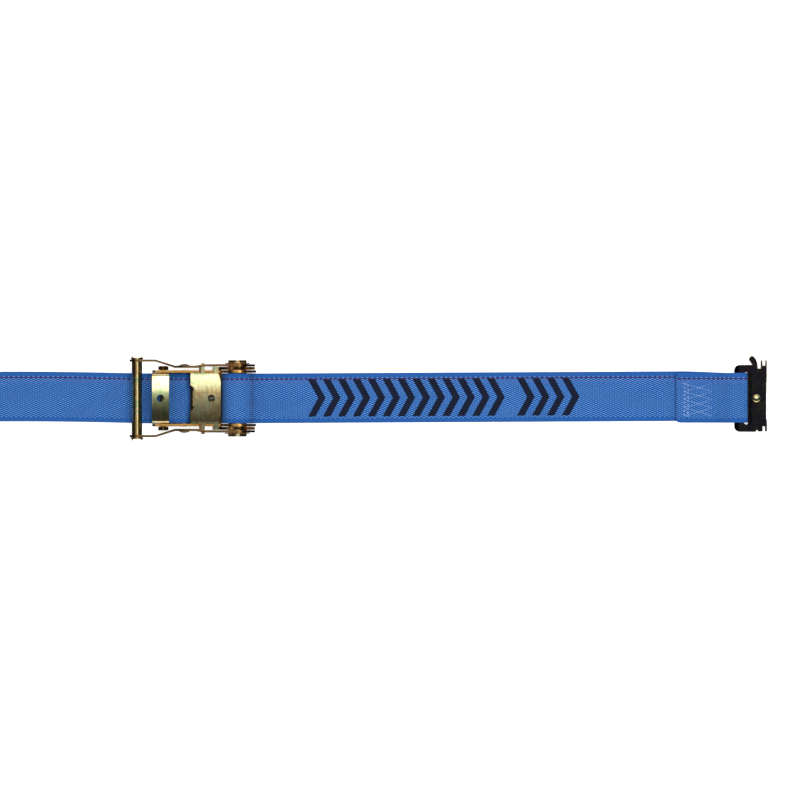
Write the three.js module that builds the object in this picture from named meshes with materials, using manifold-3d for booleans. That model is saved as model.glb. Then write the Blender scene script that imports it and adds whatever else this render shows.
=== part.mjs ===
// Ratchet tie-down for 50 mm webbing, with a spring fitting for slotted track at each end.
// Millimetres, +Z up. The ratchet lies on its base web, closed, with its webbing along X.
// Drawn from the mandrel's axis, which runs along Y; the whole is then moved so that the
// origin is the middle of the frame's base face.

import * as THREE from 'three';
import { mergeVertices } from 'three/addons/utils/BufferGeometryUtils.js';
import Module from 'manifold-3d';

const wasm = await Module();
wasm.setup();

// Driving dimensions
const WEB_HALF = 25.4; // half the webbing's width
const WEB_T = 1.6; // webbing thickness
const GAP = 0.3; // clearance between pieces that touch
const AXIS_Z = 21; // height of the mandrel's axis

const WALL_IN = 25.9; // frame wall, inner face
const WALL_OUT = 28.4; // frame wall, outer face
const WALL_TOP = 29.7;
const BOSS_R = 19; // round end of a frame wall
const FRAME_END = -86; // far end of the walls
const BASE_T = 2.5;
const BASE_FROM = -78;
const BASE_TO = -24;

const MANDREL_R = 9.5;
const MANDREL_HALF = 38.7; // half the mandrel's length
const SLOT_HALF = 1.7; // half the slot between its two bars
const ROLL_R = 16.5; // wound webbing
const WHEEL_R = 18.3;
const WHEEL_ROOT = 14.8;
const TEETH = 12;
const CATCH_DEG = 199.5; // where one tooth's catch face stands
const WHEEL_IN = 28.9;
const WHEEL_OUT = 31.9;

const ROD_X = -54.15; // rod that holds the fixed webbing
const ROD_Z = 12;
const ROD_R = 4.75;
const BOLT_X = -75;
const BOLT_Z = 22;
const BOLT_R = 3;
const HEX_AF = 10; // hexagon across flats
const HEX_T = 3.8; // thickness of the bolt's head and of its nut

const GUARD_TO = -68.8;
const GUARD_TOP = 31.5;
const GUARD_T = 2.2;
const HOLE_R = 3.8; // round hole in the guard and in the release plate

const ARM_T = 2.2;
const GRIP_X = -101.8;
const GRIP_R = 5.25;
const ARM_FLARE = 37.2; // arm's inner face beside the grip
const ARM_CLOSE = 31; // arm's inner face beside the frame wall
const ARM_WHEEL = 32.4; // arm's inner face beside the ratchet wheel

const PLATE_Z = 32; // release plate, underside
const PLATE_T = 2.4;
const PLATE_FROM = -46.9;
const PLATE_TO = -16.4;
const LUG_FROM = -36.2; // lugs that run in the arms' slots
const LUG_TO = -32.7;
const LUG_HALF = 36.2;
const ENGAGE = 3.2; // how far the release plate slides into the teeth
const LOCK_Z = 12; // locking pawl, underside
const LOCK_T = 2.4;
const PAWL_OUT = 5; // how far a pawl slides out of the teeth

const EYE_NOSE = 518.5; // end of the adjustable webbing's sewn loop
const EYE_FROM = 445; // where its folded-back end stops
const FIXED_NOSE = -364; // end of the fixed webbing's sewn loop
const RIVET_FROM_NOSE = 8.4; // from a loop's nose to its fitting's rivet
const FIT_Z = 7.4; // middle of a fitting
const FIT_HALF = 5.5; // half a fitting's thickness
const FIT_T = 2.5; // its sheet
const LATCH_HALF = 2.2; // half the latch's thickness

// Colours
const ZINC = { color: 0xb59a55, roughness: 0.32, metalness: 0.9 };
const DARK_ZINC = { color: 0x6e5f3a, roughness: 0.3, metalness: 0.9 };
const STEEL = { color: 0x9a9a96, roughness: 0.35, metalness: 0.9 };
const BLUE = { color: 0x2f6fc0, roughness: 0.85, metalness: 0 };

// Helpers ---------------------------------------------------------------

const BASES = {
  Z: new THREE.Matrix4(),
  Y: new THREE.Matrix4().makeBasis(
    new THREE.Vector3(1, 0, 0), new THREE.Vector3(0, 0, 1), new THREE.Vector3(0, -1, 0)),
  X: new THREE.Matrix4().makeBasis(
    new THREE.Vector3(0, 1, 0), new THREE.Vector3(0, 0, 1), new THREE.Vector3(1, 0, 0)),
};

function solid(geometry) {
  const bare = geometry.clone();
  bare.deleteAttribute('normal');
  bare.deleteAttribute('uv');
  const merged = mergeVertices(bare, 1e-4);
  return new wasm.Manifold(new wasm.Mesh({
    numProp: 3,
    vertProperties: Float32Array.from(merged.attributes.position.array),
    triVerts: Uint32Array.from(merged.index.array),
  }));
}

// A flat outline pulled along an axis from low to high. Its own x and y run along the
// other two axes: X and Y for Z, X and Z for Y, Y and Z for X.
function prism(axis, outline, low, high, curveSegments = 12) {
  const depth = high - low;
  const geometry = new THREE.ExtrudeGeometry(outline, { depth, bevelEnabled: false, curveSegments });
  geometry.translate(0, 0, axis === 'Y' ? -high : low);
  return solid(geometry.applyMatrix4(BASES[axis]));
}

function polygon(points) {
  return new THREE.Shape(points.map(([x, y]) => new THREE.Vector2(x, y)));
}

function box(x0, x1, y0, y1, z0, z1) {
  const geometry = new THREE.BoxGeometry(x1 - x0, y1 - y0, z1 - z0);
  return solid(geometry.translate((x0 + x1) / 2, (y0 + y1) / 2, (z0 + z1) / 2));
}

// A round bar along Y at (x, z).
function barY(radius, y0, y1, x, z, sides = 24) {
  const geometry = new THREE.CylinderGeometry(radius, radius, y1 - y0, sides);
  return solid(geometry.translate(x, (y0 + y1) / 2, z));
}

// A round bar along Z at (x, y).
function barZ(radius, z0, z1, x, y, sides = 20) {
  const geometry = new THREE.CylinderGeometry(radius, radius, z1 - z0, sides);
  return solid(geometry.rotateX(Math.PI / 2).translate(x, y, (z0 + z1) / 2));
}

function hexagonY(y0, y1, x, z) {
  return barY(HEX_AF / Math.sqrt(3), y0, y1, x, z, 6);
}

class Helix extends THREE.Curve {
  constructor(radius, length, turns) {
    super();
    Object.assign(this, { radius, length, turns });
  }

  getPoint(t) {
    const angle = 2 * Math.PI * this.turns * t;
    return new THREE.Vector3(
      this.length * t, this.radius * Math.cos(angle), this.radius * Math.sin(angle));
  }

  // The helix runs at an even speed, so its parameter is already its length.
  getPointAt(t) {
    return this.getPoint(t);
  }
}

// A coil spring along +X from the origin.
function coil(outerR, wireR, length, turns) {
  const section = new THREE.Shape();
  section.absarc(0, 0, wireR, 0, 2 * Math.PI);
  const extrudePath = new Helix(outerR - wireR, length - 2 * wireR, turns);
  const steps = Math.round(turns * 9);
  const geometry = new THREE.ExtrudeGeometry(
    section, { extrudePath, steps, curveSegments: 2.5, bevelEnabled: false });
  return solid(geometry.translate(wireR, 0, 0));
}

const ratchet = new THREE.Group();

function add(name, body, look, parent = ratchet) {
  const { vertProperties, triVerts, numProp } = body.getMesh();
  if (numProp !== 3) throw new Error(`${name} has extra vertex data`);
  const geometry = new THREE.BufferGeometry();
  geometry.setAttribute('position', new THREE.BufferAttribute(vertProperties, 3));
  geometry.setIndex(new THREE.BufferAttribute(triVerts, 1));
  geometry.computeVertexNormals();
  const material = new THREE.MeshStandardMaterial({ ...look, flatShading: true });
  const mesh = new THREE.Mesh(geometry, material);
  mesh.name = name;
  parent.add(mesh);
}

// The two sides of the ratchet mirror each other; a piece is drawn on the +Y side.
const SIDES = [['a', 1], ['b', -1]];
function onSide(body, side) {
  return side > 0 ? body : body.mirror([0, 1, 0]);
}

// Frame -----------------------------------------------------------------

function frame() {
  const outline = polygon([
    [FRAME_END, 8], [FRAME_END + 6, 0], [-22, 0], [0, AXIS_Z - BOSS_R],
    [0, WALL_TOP], [FRAME_END + 3, WALL_TOP], [FRAME_END, WALL_TOP - 3],
  ]);
  const side = prism('Y', outline, -WALL_OUT, WALL_OUT)
    .add(barY(BOSS_R, -WALL_OUT, WALL_OUT, 0, AXIS_Z, 40));

  const bend = 3.5;
  const section = new THREE.Shape();
  section.moveTo(-WALL_OUT, 60);
  section.lineTo(-WALL_OUT, bend);
  section.absarc(-WALL_OUT + bend, bend, bend, Math.PI, 1.5 * Math.PI);
  section.absarc(WALL_OUT - bend, bend, bend, 1.5 * Math.PI, 2 * Math.PI);
  section.lineTo(WALL_OUT, 60);
  section.lineTo(WALL_IN, 60);
  section.lineTo(WALL_IN, BASE_T);
  section.lineTo(-WALL_IN, BASE_T);
  section.lineTo(-WALL_IN, 60);
  const channel = prism('X', section, FRAME_END - 1, BOSS_R + 1, 3);

  let body = channel.intersect(side);
  body = body.subtract(box(FRAME_END - 2, BASE_FROM, -WALL_IN, WALL_IN, -1, 8));
  body = body.subtract(box(BASE_TO, BOSS_R + 2, -WALL_IN, WALL_IN, -1, 8));
  body = body.subtract(barY(MANDREL_R + GAP, -40, 40, 0, AXIS_Z, 40));
  body = body.subtract(barY(BOLT_R + GAP, -40, 40, BOLT_X, BOLT_Z));
  body = body.subtract(barY(ROD_R + GAP, -40, 40, ROD_X, ROD_Z));
  const slotFrom = -25.5 - PAWL_OUT - GAP;
  body = body.subtract(box(slotFrom, -14.2, -40, 40, LOCK_Z - GAP, LOCK_Z + LOCK_T + GAP));
  // Seat of the locking spring, lanced up from the base web.
  return body.add(box(-45.3, -43.5, -8, 8, BASE_T / 2, 17));
}

function strapGuard() {
  const half = WALL_IN - GAP;
  const bottom = 16.5;
  const bend = 3.5;
  const section = new THREE.Shape();
  section.moveTo(-half, bottom);
  section.lineTo(-half + GUARD_T, bottom);
  section.lineTo(-half + GUARD_T, GUARD_TOP - GUARD_T);
  section.lineTo(half - GUARD_T, GUARD_TOP - GUARD_T);
  section.lineTo(half - GUARD_T, bottom);
  section.lineTo(half, bottom);
  section.lineTo(half, GUARD_TOP - bend);
  section.absarc(half - bend, GUARD_TOP - bend, bend, 0, Math.PI / 2);
  section.absarc(-half + bend, GUARD_TOP - bend, bend, Math.PI / 2, Math.PI);
  return prism('X', section, FRAME_END, GUARD_TO, 5)
    .subtract(barY(BOLT_R + GAP, -40, 40, BOLT_X, BOLT_Z))
    .subtract(barZ(HOLE_R, 20, 40, -77.3, 0));
}

function rearBolt() {
  const seat = WALL_OUT + GAP;
  const threadEnd = seat + HEX_T + GAP;
  return barY(BOLT_R, -seat - 1, threadEnd, BOLT_X, BOLT_Z)
    .add(hexagonY(-seat - HEX_T, -seat, BOLT_X, BOLT_Z));
}

function rearNut() {
  const seat = WALL_OUT + GAP;
  return hexagonY(seat, seat + HEX_T, BOLT_X, BOLT_Z)
    .subtract(barY(BOLT_R + GAP, 0, 50, BOLT_X, BOLT_Z));
}

function strapRod() {
  const profile = [
    [0, -28.75], [3, -28.6], [ROD_R, -27.6], [ROD_R, 27.6], [3, 28.6], [0, 28.75],
  ].map(([r, y]) => new THREE.Vector2(r, y));
  return solid(new THREE.LatheGeometry(profile, 28).translate(ROD_X, 0, ROD_Z));
}

// Locking pawl and its spring ---------------------------------------------

function lockingPawl() {
  const top = LOCK_Z + LOCK_T;
  const inner = WALL_IN - GAP;
  return box(-31, -15.8, -inner, inner, LOCK_Z, top)
    .add(box(-25.5, -14.9, -32, -WHEEL_IN - 0.2, LOCK_Z, top))
    .add(box(-25.5, -14.9, WHEEL_IN + 0.2, 32, LOCK_Z, top))
    .add(box(-25.5, -16.5, -32, 32, LOCK_Z, top));
}

function lockingSpring() {
  return coil(2.5, 0.5, 11.6, 6).translate([-43.1, 0, LOCK_Z + LOCK_T / 2]);
}

// Lever -------------------------------------------------------------------

function armOutline() {
  const outline = new THREE.Shape();
  const endR = 7.5;
  outline.absarc(0, AXIS_Z, 18, Math.PI, 2.5 * Math.PI);
  outline.lineTo(-46, 37.5);
  outline.lineTo(-57, 34);
  outline.lineTo(-80, 29);
  outline.lineTo(GRIP_X, AXIS_Z + endR);
  outline.absarc(GRIP_X, AXIS_Z, endR, Math.PI / 2, 1.5 * Math.PI);
  outline.lineTo(-76, 12);
  outline.lineTo(-62, 4.5);
  outline.lineTo(-22, 4.5);
  return outline;
}

function arm() {
  const inner = [
    [-115, ARM_FLARE], [-83, ARM_FLARE], [-63.5, ARM_CLOSE], [-41, ARM_CLOSE],
    [-34.5, ARM_WHEEL], [25, ARM_WHEEL],
  ];
  const outer = inner.map(([x, y]) => [x, y + ARM_T]).reverse();
  const sheet = prism('Z', polygon([...inner, ...outer]), -5, 60);
  let body = sheet.intersect(prism('Y', armOutline(), 20, 50, 18));
  // The dimple that sits over the strap rod's end.
  const ball = (radius) => solid(
    new THREE.SphereGeometry(radius, 20, 10).translate(ROD_X, ARM_CLOSE - 5.8, ROD_Z));
  const dimple = ball(10).intersect(box(-70, -40, ARM_CLOSE + 0.6, 50, 0, 30));
  body = body.add(dimple).subtract(ball(8.5));
  body = body.subtract(barY(MANDREL_R + GAP, 20, 50, 0, AXIS_Z, 40));
  body = body.subtract(barY(GRIP_R + GAP, 20, 50, GRIP_X, AXIS_Z));
  // The slot that guides the release plate, and the bridge's slot.
  const slotFrom = LUG_FROM - PAWL_OUT - GAP;
  const slotTo = LUG_TO + ENGAGE + GAP;
  body = body.subtract(box(slotFrom, slotTo, 20, 50, PLATE_Z - GAP, PLATE_Z + PLATE_T + GAP));
  return body.subtract(box(-38.9, -34.7, 20, 50, WALL_TOP, 32.1));
}

function gripTube() {
  const profile = [
    [3.75, -41.2], [6.35, -41.2], [6.35, -39.7], [GRIP_R, -39.7], [GRIP_R, 39.7],
    [6.35, 39.7], [6.35, 41.2], [3.75, 41.2], [3.75, -41.2],
  ].map(([r, y]) => new THREE.Vector2(r, y));
  let body = solid(new THREE.LatheGeometry(profile, 28).translate(GRIP_X, 0, AXIS_Z));
  // Two staked prongs stand up at each end.
  for (const end of [-1, 1]) {
    for (const turn of [-1, 1]) {
      const x = GRIP_X + 4.6 * turn;
      const low = Math.min(40.8 * end, 42.8 * end);
      body = body.add(box(x - 0.75, x + 0.75, low, low + 2, AXIS_Z - 2, AXIS_Z + 2));
    }
  }
  return body;
}

function handleBridge() {
  const low = WALL_TOP + GAP;
  const high = 31.8;
  return box(-38.6, -35, -34, 34, low, high)
    .add(box(-36.8, -35, -8, 8, 27, high));
}

function releasePlate() {
  const edge = WALL_IN - GAP;
  const top = PLATE_Z + PLATE_T;
  const plate = new THREE.Shape();
  plate.moveTo(PLATE_FROM, -edge);
  plate.lineTo(PLATE_TO - 2.2, -edge);
  plate.lineTo(PLATE_TO, -edge + 9);
  plate.lineTo(PLATE_TO, edge - 9);
  plate.lineTo(PLATE_TO - 2.2, edge);
  plate.lineTo(PLATE_FROM, edge);
  plate.lineTo(PLATE_FROM, 13);
  plate.quadraticCurveTo(PLATE_FROM + 4.5, 12, PLATE_FROM + 4.2, 4);
  plate.lineTo(PLATE_FROM + 4.2, -4);
  plate.quadraticCurveTo(PLATE_FROM + 4.5, -12, PLATE_FROM, -13);
  let body = prism('Z', plate, PLATE_Z, top, 6);
  // Lugs that run in the arms' slots, and the ones that reach over the walls to the wheels.
  body = body.add(box(LUG_FROM, LUG_TO, -LUG_HALF, LUG_HALF, PLATE_Z, top));
  body = body.add(box(-23.5, -18.7, -WHEEL_OUT, WHEEL_OUT, PLATE_Z, top));
  body = body.subtract(barZ(HOLE_R, 20, 50, -25.8, 0, 24));
  // The tongue in front of the spring.
  body = body.add(box(-20.9, -18.9, -6, 6, 27.4, top - 0.5));
  // The ears that drop into the wheels' teeth.
  const ear = polygon([
    [-24.5, 28.5], [-23.2, 28.5], [-19.7, 28.9], [-16.4, 30.1], [-15.7, 31.1],
    [-18.6, top], [-24.5, top],
  ]);
  for (const side of [-1, 1]) {
    body = body.add(onSide(prism('Y', ear, WHEEL_IN, WHEEL_OUT), side));
  }
  return body;
}

function driveSpring() {
  return coil(2.2, 0.45, 13.5, 6).translate([-34.7, 0, 29.55]);
}

// Mandrel -----------------------------------------------------------------

const PIN_Y = 37.1;

function mandrelBar(half) {
  const cut = half > 0
    ? box(-20, 20, -50, 50, AXIS_Z - 20, AXIS_Z + SLOT_HALF)
    : box(-20, 20, -50, 50, AXIS_Z - SLOT_HALF, AXIS_Z + 20);
  return barY(MANDREL_R, -MANDREL_HALF, MANDREL_HALF, 0, AXIS_Z, 40)
    .subtract(cut)
    .subtract(barZ(1.3, 0, 50, 0, PIN_Y, 12))
    .subtract(barZ(1.3, 0, 50, 0, -PIN_Y, 12));
}

// The two half-round holes that fit over the bars, leaving a bridge between them.
function halfHoles(y0, y1, bridgeHalf) {
  return barY(MANDREL_R + GAP, y0, y1, 0, AXIS_Z, 40)
    .subtract(box(-20, 20, y0 - 1, y1 + 1, AXIS_Z - bridgeHalf, AXIS_Z + bridgeHalf));
}

function ratchetWheel() {
  const pitch = 2 * Math.PI / TEETH;
  const catchAngle = THREE.MathUtils.degToRad(CATCH_DEG);
  const points = [];
  for (let tooth = 0; tooth < TEETH; tooth += 1) {
    const start = catchAngle + tooth * pitch;
    for (const [share, radius] of [[0, WHEEL_ROOT], [0.5, 16.3], [0.94, 18.2], [1, WHEEL_R]]) {
      const angle = start + share * pitch;
      points.push([radius * Math.cos(angle), AXIS_Z + radius * Math.sin(angle)]);
    }
  }
  return prism('Y', polygon(points), WHEEL_IN, WHEEL_OUT)
    .subtract(halfHoles(20, 40, SLOT_HALF - GAP));
}

function endWasher() {
  return barY(12.5, 34.9, 35.9, 0, AXIS_Z, 32).subtract(barY(MANDREL_R + GAP, 30, 40, 0, AXIS_Z, 40));
}

function cotterPin() {
  const head = solid(new THREE.SphereGeometry(1.5, 12, 8).translate(0, PIN_Y, AXIS_Z + 14.2));
  const foot = box(-2.6, 2.6, PIN_Y - 0.8, PIN_Y + 0.8, AXIS_Z - 12.2, AXIS_Z - 10.6);
  return barZ(1, AXIS_Z - 11.5, AXIS_Z + 13.5, 0, PIN_Y, 12).add(head).add(foot);
}

function webbingRoll() {
  return barY(ROLL_R, -WEB_HALF, WEB_HALF, 0, AXIS_Z, 48)
    .subtract(halfHoles(-40, 40, WEB_T / 2));
}

// Webbing -----------------------------------------------------------------

// The doubled fixed webbing, with the loop round its rod.
function fixedWebbing() {
  const outerR = ROD_R + GAP + WEB_T;
  const innerR = ROD_R + GAP;
  const outline = new THREE.Shape();
  const endX = FIXED_NOSE + EYE_NOSE - EYE_FROM + GAP;
  outline.moveTo(endX, 0);
  outline.lineTo(-110, 0);
  outline.absarc(ROD_X, ROD_Z, outerR, -0.53 * Math.PI, 0.57 * Math.PI);
  outline.lineTo(-125, 2 * WEB_T);
  outline.lineTo(endX, 2 * WEB_T);
  const hole = new THREE.Path();
  hole.absarc(ROD_X, ROD_Z, innerR, -0.53 * Math.PI, 0.57 * Math.PI);
  hole.lineTo(-118, WEB_T);
  outline.holes.push(hole);
  return prism('Y', outline, -WEB_HALF, WEB_HALF, 14);
}

// The free run of the adjustable webbing, from under the roll.
function adjustableWebbing() {
  const near = ROLL_R + GAP;
  const far = near + WEB_T;
  const landing = 60;
  const outline = new THREE.Shape();
  outline.absarc(0, AXIS_Z, near, 1.4 * Math.PI, 1.52 * Math.PI);
  outline.lineTo(landing, WEB_T);
  outline.lineTo(EYE_FROM - GAP, WEB_T);
  outline.lineTo(EYE_FROM - GAP, 0);
  outline.lineTo(landing, 0);
  outline.absarc(0, AXIS_Z, far, 1.52 * Math.PI, 1.4 * Math.PI, true);
  return prism('Y', outline, -WEB_HALF, WEB_HALF, 6);
}

// The sewn loop round a fitting's bar: two layers that part to pass round it.
function webbingEye() {
  const top = FIT_Z + FIT_HALF + GAP + WEB_T;
  const inner = top - WEB_T;
  const turn = 5;
  const outline = new THREE.Shape();
  outline.absarc(EYE_NOSE - turn, turn, turn, -0.5 * Math.PI, 0);
  outline.absarc(EYE_NOSE - turn, top - turn, turn, 0, 0.5 * Math.PI);
  outline.lineTo(502, top);
  outline.lineTo(478, 2 * WEB_T);
  outline.lineTo(EYE_FROM, 2 * WEB_T);
  outline.lineTo(EYE_FROM, 0);
  const hole = new THREE.Path();
  const innerTurn = turn - WEB_T;
  hole.absarc(EYE_NOSE - turn, turn, innerTurn, -0.5 * Math.PI, 0);
  hole.absarc(EYE_NOSE - turn, inner - innerTurn, innerTurn, 0, 0.5 * Math.PI);
  hole.lineTo(502.6, inner);
  hole.lineTo(482, WEB_T);
  outline.holes.push(hole);
  return prism('Y', outline, -WEB_HALF, WEB_HALF, 5);
}

// End fitting, drawn from its rivet's axis, with the track on its +X side ---

function fittingBody() {
  const foldX = -22.2;
  const inHalf = FIT_HALF - FIT_T;
  const section = new THREE.Shape();
  section.moveTo(10, -FIT_HALF);
  section.lineTo(10, -inHalf);
  section.absarc(foldX + FIT_HALF, 0, inHalf, 1.5 * Math.PI, 0.5 * Math.PI, true);
  section.lineTo(10, inHalf);
  section.lineTo(10, FIT_HALF);
  section.absarc(foldX + FIT_HALF, 0, FIT_HALF, 0.5 * Math.PI, 1.5 * Math.PI);
  const folded = prism('Y', section, -40, 40, 10);

  const shoulder = 34;
  const corner = 6;
  const plan = new THREE.Shape();
  plan.moveTo(10, -27);
  plan.lineTo(10, 27);
  plan.lineTo(0.7, 27);
  plan.lineTo(0.7, shoulder - 2);
  plan.lineTo(-1.3, shoulder);
  plan.absarc(foldX + corner, shoulder - corner, corner, 0.5 * Math.PI, Math.PI);
  plan.absarc(foldX + corner, -shoulder + corner, corner, Math.PI, 1.5 * Math.PI);
  plan.lineTo(-1.3, -shoulder);
  plan.lineTo(0.7, -shoulder + 2);
  plan.lineTo(0.7, -27);

  // The webbing's slot is wider in the upper sheet than in the lower one.
  const slot = (to, radius, low, high) => {
    const [from, half] = [-12.7, WEB_HALF + 1.3];
    const outline = new THREE.Shape();
    outline.absarc(to - radius, half - radius, radius, 0, 0.5 * Math.PI);
    outline.absarc(from + radius, half - radius, radius, 0.5 * Math.PI, Math.PI);
    outline.absarc(from + radius, -half + radius, radius, Math.PI, 1.5 * Math.PI);
    outline.absarc(to - radius, -half + radius, radius, 1.5 * Math.PI, 2 * Math.PI);
    return prism('Z', outline, low, high, 4);
  };

  // The fixed hook fills the gap between the sheets at the lower end.
  const hook = polygon([
    [-2, -21.8], [10.9, -21.8], [10.9, -33.7], [9.3, -33.7], [9.3, -28.5],
    [6.4, -28.5], [6.4, -33.7], [2.6, -33.7], [0, -30], [-2, -26],
  ]);
  return folded
    .intersect(prism('Z', plan, -10, 10, 5))
    .subtract(slot(-4.9, 3, 0, 10))
    .subtract(slot(-8, 2, -10, 0))
    .add(prism('Z', hook, -inHalf - 0.5, inHalf + 0.5))
    .subtract(barZ(2.8, -10, 10, 0, 0));
}

function fittingRivet() {
  const seat = FIT_HALF + GAP;
  const profile = [
    [0, -seat - 1.5], [3.2, -seat - 1.5], [4.2, -seat], [2.5, -seat], [2.5, seat],
    [4.2, seat], [4, seat + 1], [3, seat + 1.8], [1.5, seat + 2.2], [0, seat + 2.3],
  ].map(([r, y]) => new THREE.Vector2(r, y));
  return solid(new THREE.LatheGeometry(profile, 20).rotateX(Math.PI / 2));
}

function fittingLatch() {
  const plan = new THREE.Shape();
  plan.moveTo(-4.5, -7);
  plan.lineTo(8, -7);
  plan.lineTo(10, -4);
  plan.lineTo(10.9, 24);
  plan.lineTo(10.9, 38.9);
  plan.lineTo(9.3, 38.9);
  plan.lineTo(9.3, 33.5);
  plan.lineTo(6.4, 33.5);
  plan.lineTo(6.4, 38.9);
  plan.lineTo(4.7, 38.9);
  plan.lineTo(4.7, 30.5);
  plan.lineTo(1.6, 30.5);
  plan.quadraticCurveTo(1.8, 38, -1.5, 41.5);
  plan.quadraticCurveTo(-4, 44.6, -6, 42.4);
  plan.quadraticCurveTo(-8, 40, -6.6, 38);
  plan.lineTo(-4.2, 35);
  plan.lineTo(-4.5, 28.8);
  const guide = new THREE.Path();
  guide.absarc(0, 6.2, 2.8, 0, Math.PI);
  guide.absarc(0, -0.2, 2.8, Math.PI, 2 * Math.PI);
  plan.holes.push(guide);
  return prism('Z', plan, -LATCH_HALF, LATCH_HALF, 6);
}

function latchSpring() {
  return coil(2.3, 0.45, 13.8, 6).rotate([0, 0, 90]).translate([3, -21.2, 0]);
}

function fitting(name, x, turn) {
  const group = new THREE.Group();
  group.position.set(x, 0, FIT_Z);
  group.rotation.z = turn;
  ratchet.add(group);
  add(`${name}_fitting_body`, fittingBody(), DARK_ZINC, group);
  add(`${name}_fitting_rivet`, fittingRivet(), STEEL, group);
  add(`${name}_fitting_latch`, fittingLatch(), ZINC, group);
  add(`${name}_fitting_spring`, latchSpring(), STEEL, group);
}

// Assembly ------------------------------------------------------------------

add('frame', frame(), ZINC);
add('strap_guard', strapGuard(), ZINC);
add('rear_bolt', rearBolt(), ZINC);
add('rear_nut', rearNut(), ZINC);
add('strap_rod', strapRod(), ZINC);
add('locking_pawl', lockingPawl(), ZINC);
add('locking_spring', lockingSpring(), STEEL);
add('grip_tube', gripTube(), ZINC);
add('handle_bridge', handleBridge(), ZINC);
add('release_plate', releasePlate(), ZINC);
add('drive_spring', driveSpring(), STEEL);
add('mandrel_bar_upper', mandrelBar(1), ZINC);
add('mandrel_bar_lower', mandrelBar(-1), ZINC);
for (const [letter, side] of SIDES) {
  add(`handle_arm_${letter}`, onSide(arm(), side), ZINC);
  add(`ratchet_wheel_${letter}`, onSide(ratchetWheel(), side), ZINC);
  add(`end_washer_${letter}`, onSide(endWasher(), side), ZINC);
  add(`cotter_pin_${letter}`, onSide(cotterPin(), side), ZINC);
}
add('webbing_roll', webbingRoll(), BLUE);
add('adjustable_webbing', adjustableWebbing(), BLUE);
add('adjustable_webbing_eye', webbingEye(), BLUE);
add('fixed_webbing', fixedWebbing(), BLUE);

const fixedEye = new THREE.Group();
fixedEye.rotation.z = Math.PI;
fixedEye.position.x = FIXED_NOSE + EYE_NOSE;
ratchet.add(fixedEye);
add('fixed_webbing_eye', webbingEye(), BLUE, fixedEye);

fitting('right', EYE_NOSE + RIVET_FROM_NOSE, 0);
fitting('left', FIXED_NOSE - RIVET_FROM_NOSE, Math.PI);

ratchet.position.x = -(BASE_FROM + BASE_TO) / 2;
export default ratchet;
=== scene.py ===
"""Looks of a ratchet tie-down: flat blue webbing, a zinc-plated ratchet and two track fittings."""

import math

import bmesh
import bpy
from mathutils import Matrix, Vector


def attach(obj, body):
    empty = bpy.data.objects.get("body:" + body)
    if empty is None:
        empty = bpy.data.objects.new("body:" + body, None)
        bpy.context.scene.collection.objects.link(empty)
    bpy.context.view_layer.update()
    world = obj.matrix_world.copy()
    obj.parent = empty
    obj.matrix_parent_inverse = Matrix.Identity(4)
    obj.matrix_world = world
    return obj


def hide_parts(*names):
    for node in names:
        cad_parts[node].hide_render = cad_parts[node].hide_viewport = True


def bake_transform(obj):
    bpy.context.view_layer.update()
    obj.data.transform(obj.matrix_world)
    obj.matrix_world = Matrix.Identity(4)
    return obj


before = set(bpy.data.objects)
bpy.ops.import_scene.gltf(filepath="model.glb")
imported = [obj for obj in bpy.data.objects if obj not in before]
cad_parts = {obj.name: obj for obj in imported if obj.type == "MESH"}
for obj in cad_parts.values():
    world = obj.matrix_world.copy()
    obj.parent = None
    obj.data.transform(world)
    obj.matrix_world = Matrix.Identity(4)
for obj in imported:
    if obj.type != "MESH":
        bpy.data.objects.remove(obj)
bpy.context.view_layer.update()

# Millimetres, drawn from the mandrel's axis, as in the CAD source. at() gives row-frame metres.
ORIGIN_X = 51.0
MM = 0.001
WEB_HALF = 25.4
WEB_T = 1.6
AXIS_Z = 21.0
ROLL_R = 16.5
ROD_X, ROD_Z, ROD_R = -54.15, 12.0, 4.75
GAP = 0.3
EYE_FROM, EYE_NOSE = 445.0, 518.5
FIXED_NOSE = -364.0
EYE_TOP = 14.8
RIVET_FROM_NOSE = 8.4
FIT_Z = 7.4
LAP = 12.0  # how far the left eye's end lies over the fixed webbing


def at(x, y, z):
    return Vector(((x + ORIGIN_X) * MM, y * MM, z * MM))


# Camera ------------------------------------------------------------------

VIEW_WIDTH = 0.813
CAMERA_Z = 5.0
VIEW_X, VIEW_Y = 0.2159, -0.0017
SUBJECT_Z = 0.010

camera = bpy.data.objects.new("camera", bpy.data.cameras.new("camera"))
bpy.context.scene.collection.objects.link(camera)
camera.location = (VIEW_X, VIEW_Y, CAMERA_Z)
camera.data.sensor_width = 36.0
camera.data.lens = 36.0 * (CAMERA_Z - SUBJECT_Z) / VIEW_WIDTH
camera.data.clip_end = 200.0
bpy.context.scene.camera = camera


# Mesh helpers --------------------------------------------------------------

def link(name, mesh, material):
    piece = bpy.data.objects.new(name, mesh)
    bpy.context.scene.collection.objects.link(piece)
    mesh.materials.append(material)
    return piece


def mesh_of(name, points, faces, smooth=True):
    mesh = bpy.data.meshes.new(name)
    mesh.from_pydata([tuple(p) for p in points], [], faces)
    mesh.update()
    if smooth:
        mesh.polygons.foreach_set("use_smooth", [True] * len(mesh.polygons))
    return mesh


def loft(rings, close_ends=True):
    """Faces that join rings of equal length, one after the other."""
    count = len(rings[0])
    faces = []
    for i in range(len(rings) - 1):
        for j in range(count):
            k = (j + 1) % count
            faces.append((i * count + j, i * count + k, (i + 1) * count + k, (i + 1) * count + j))
    if close_ends:
        faces.append(tuple(reversed(range(count))))
        faces.append(tuple(range((len(rings) - 1) * count, len(rings) * count)))
    return [p for ring in rings for p in ring], faces


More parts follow.
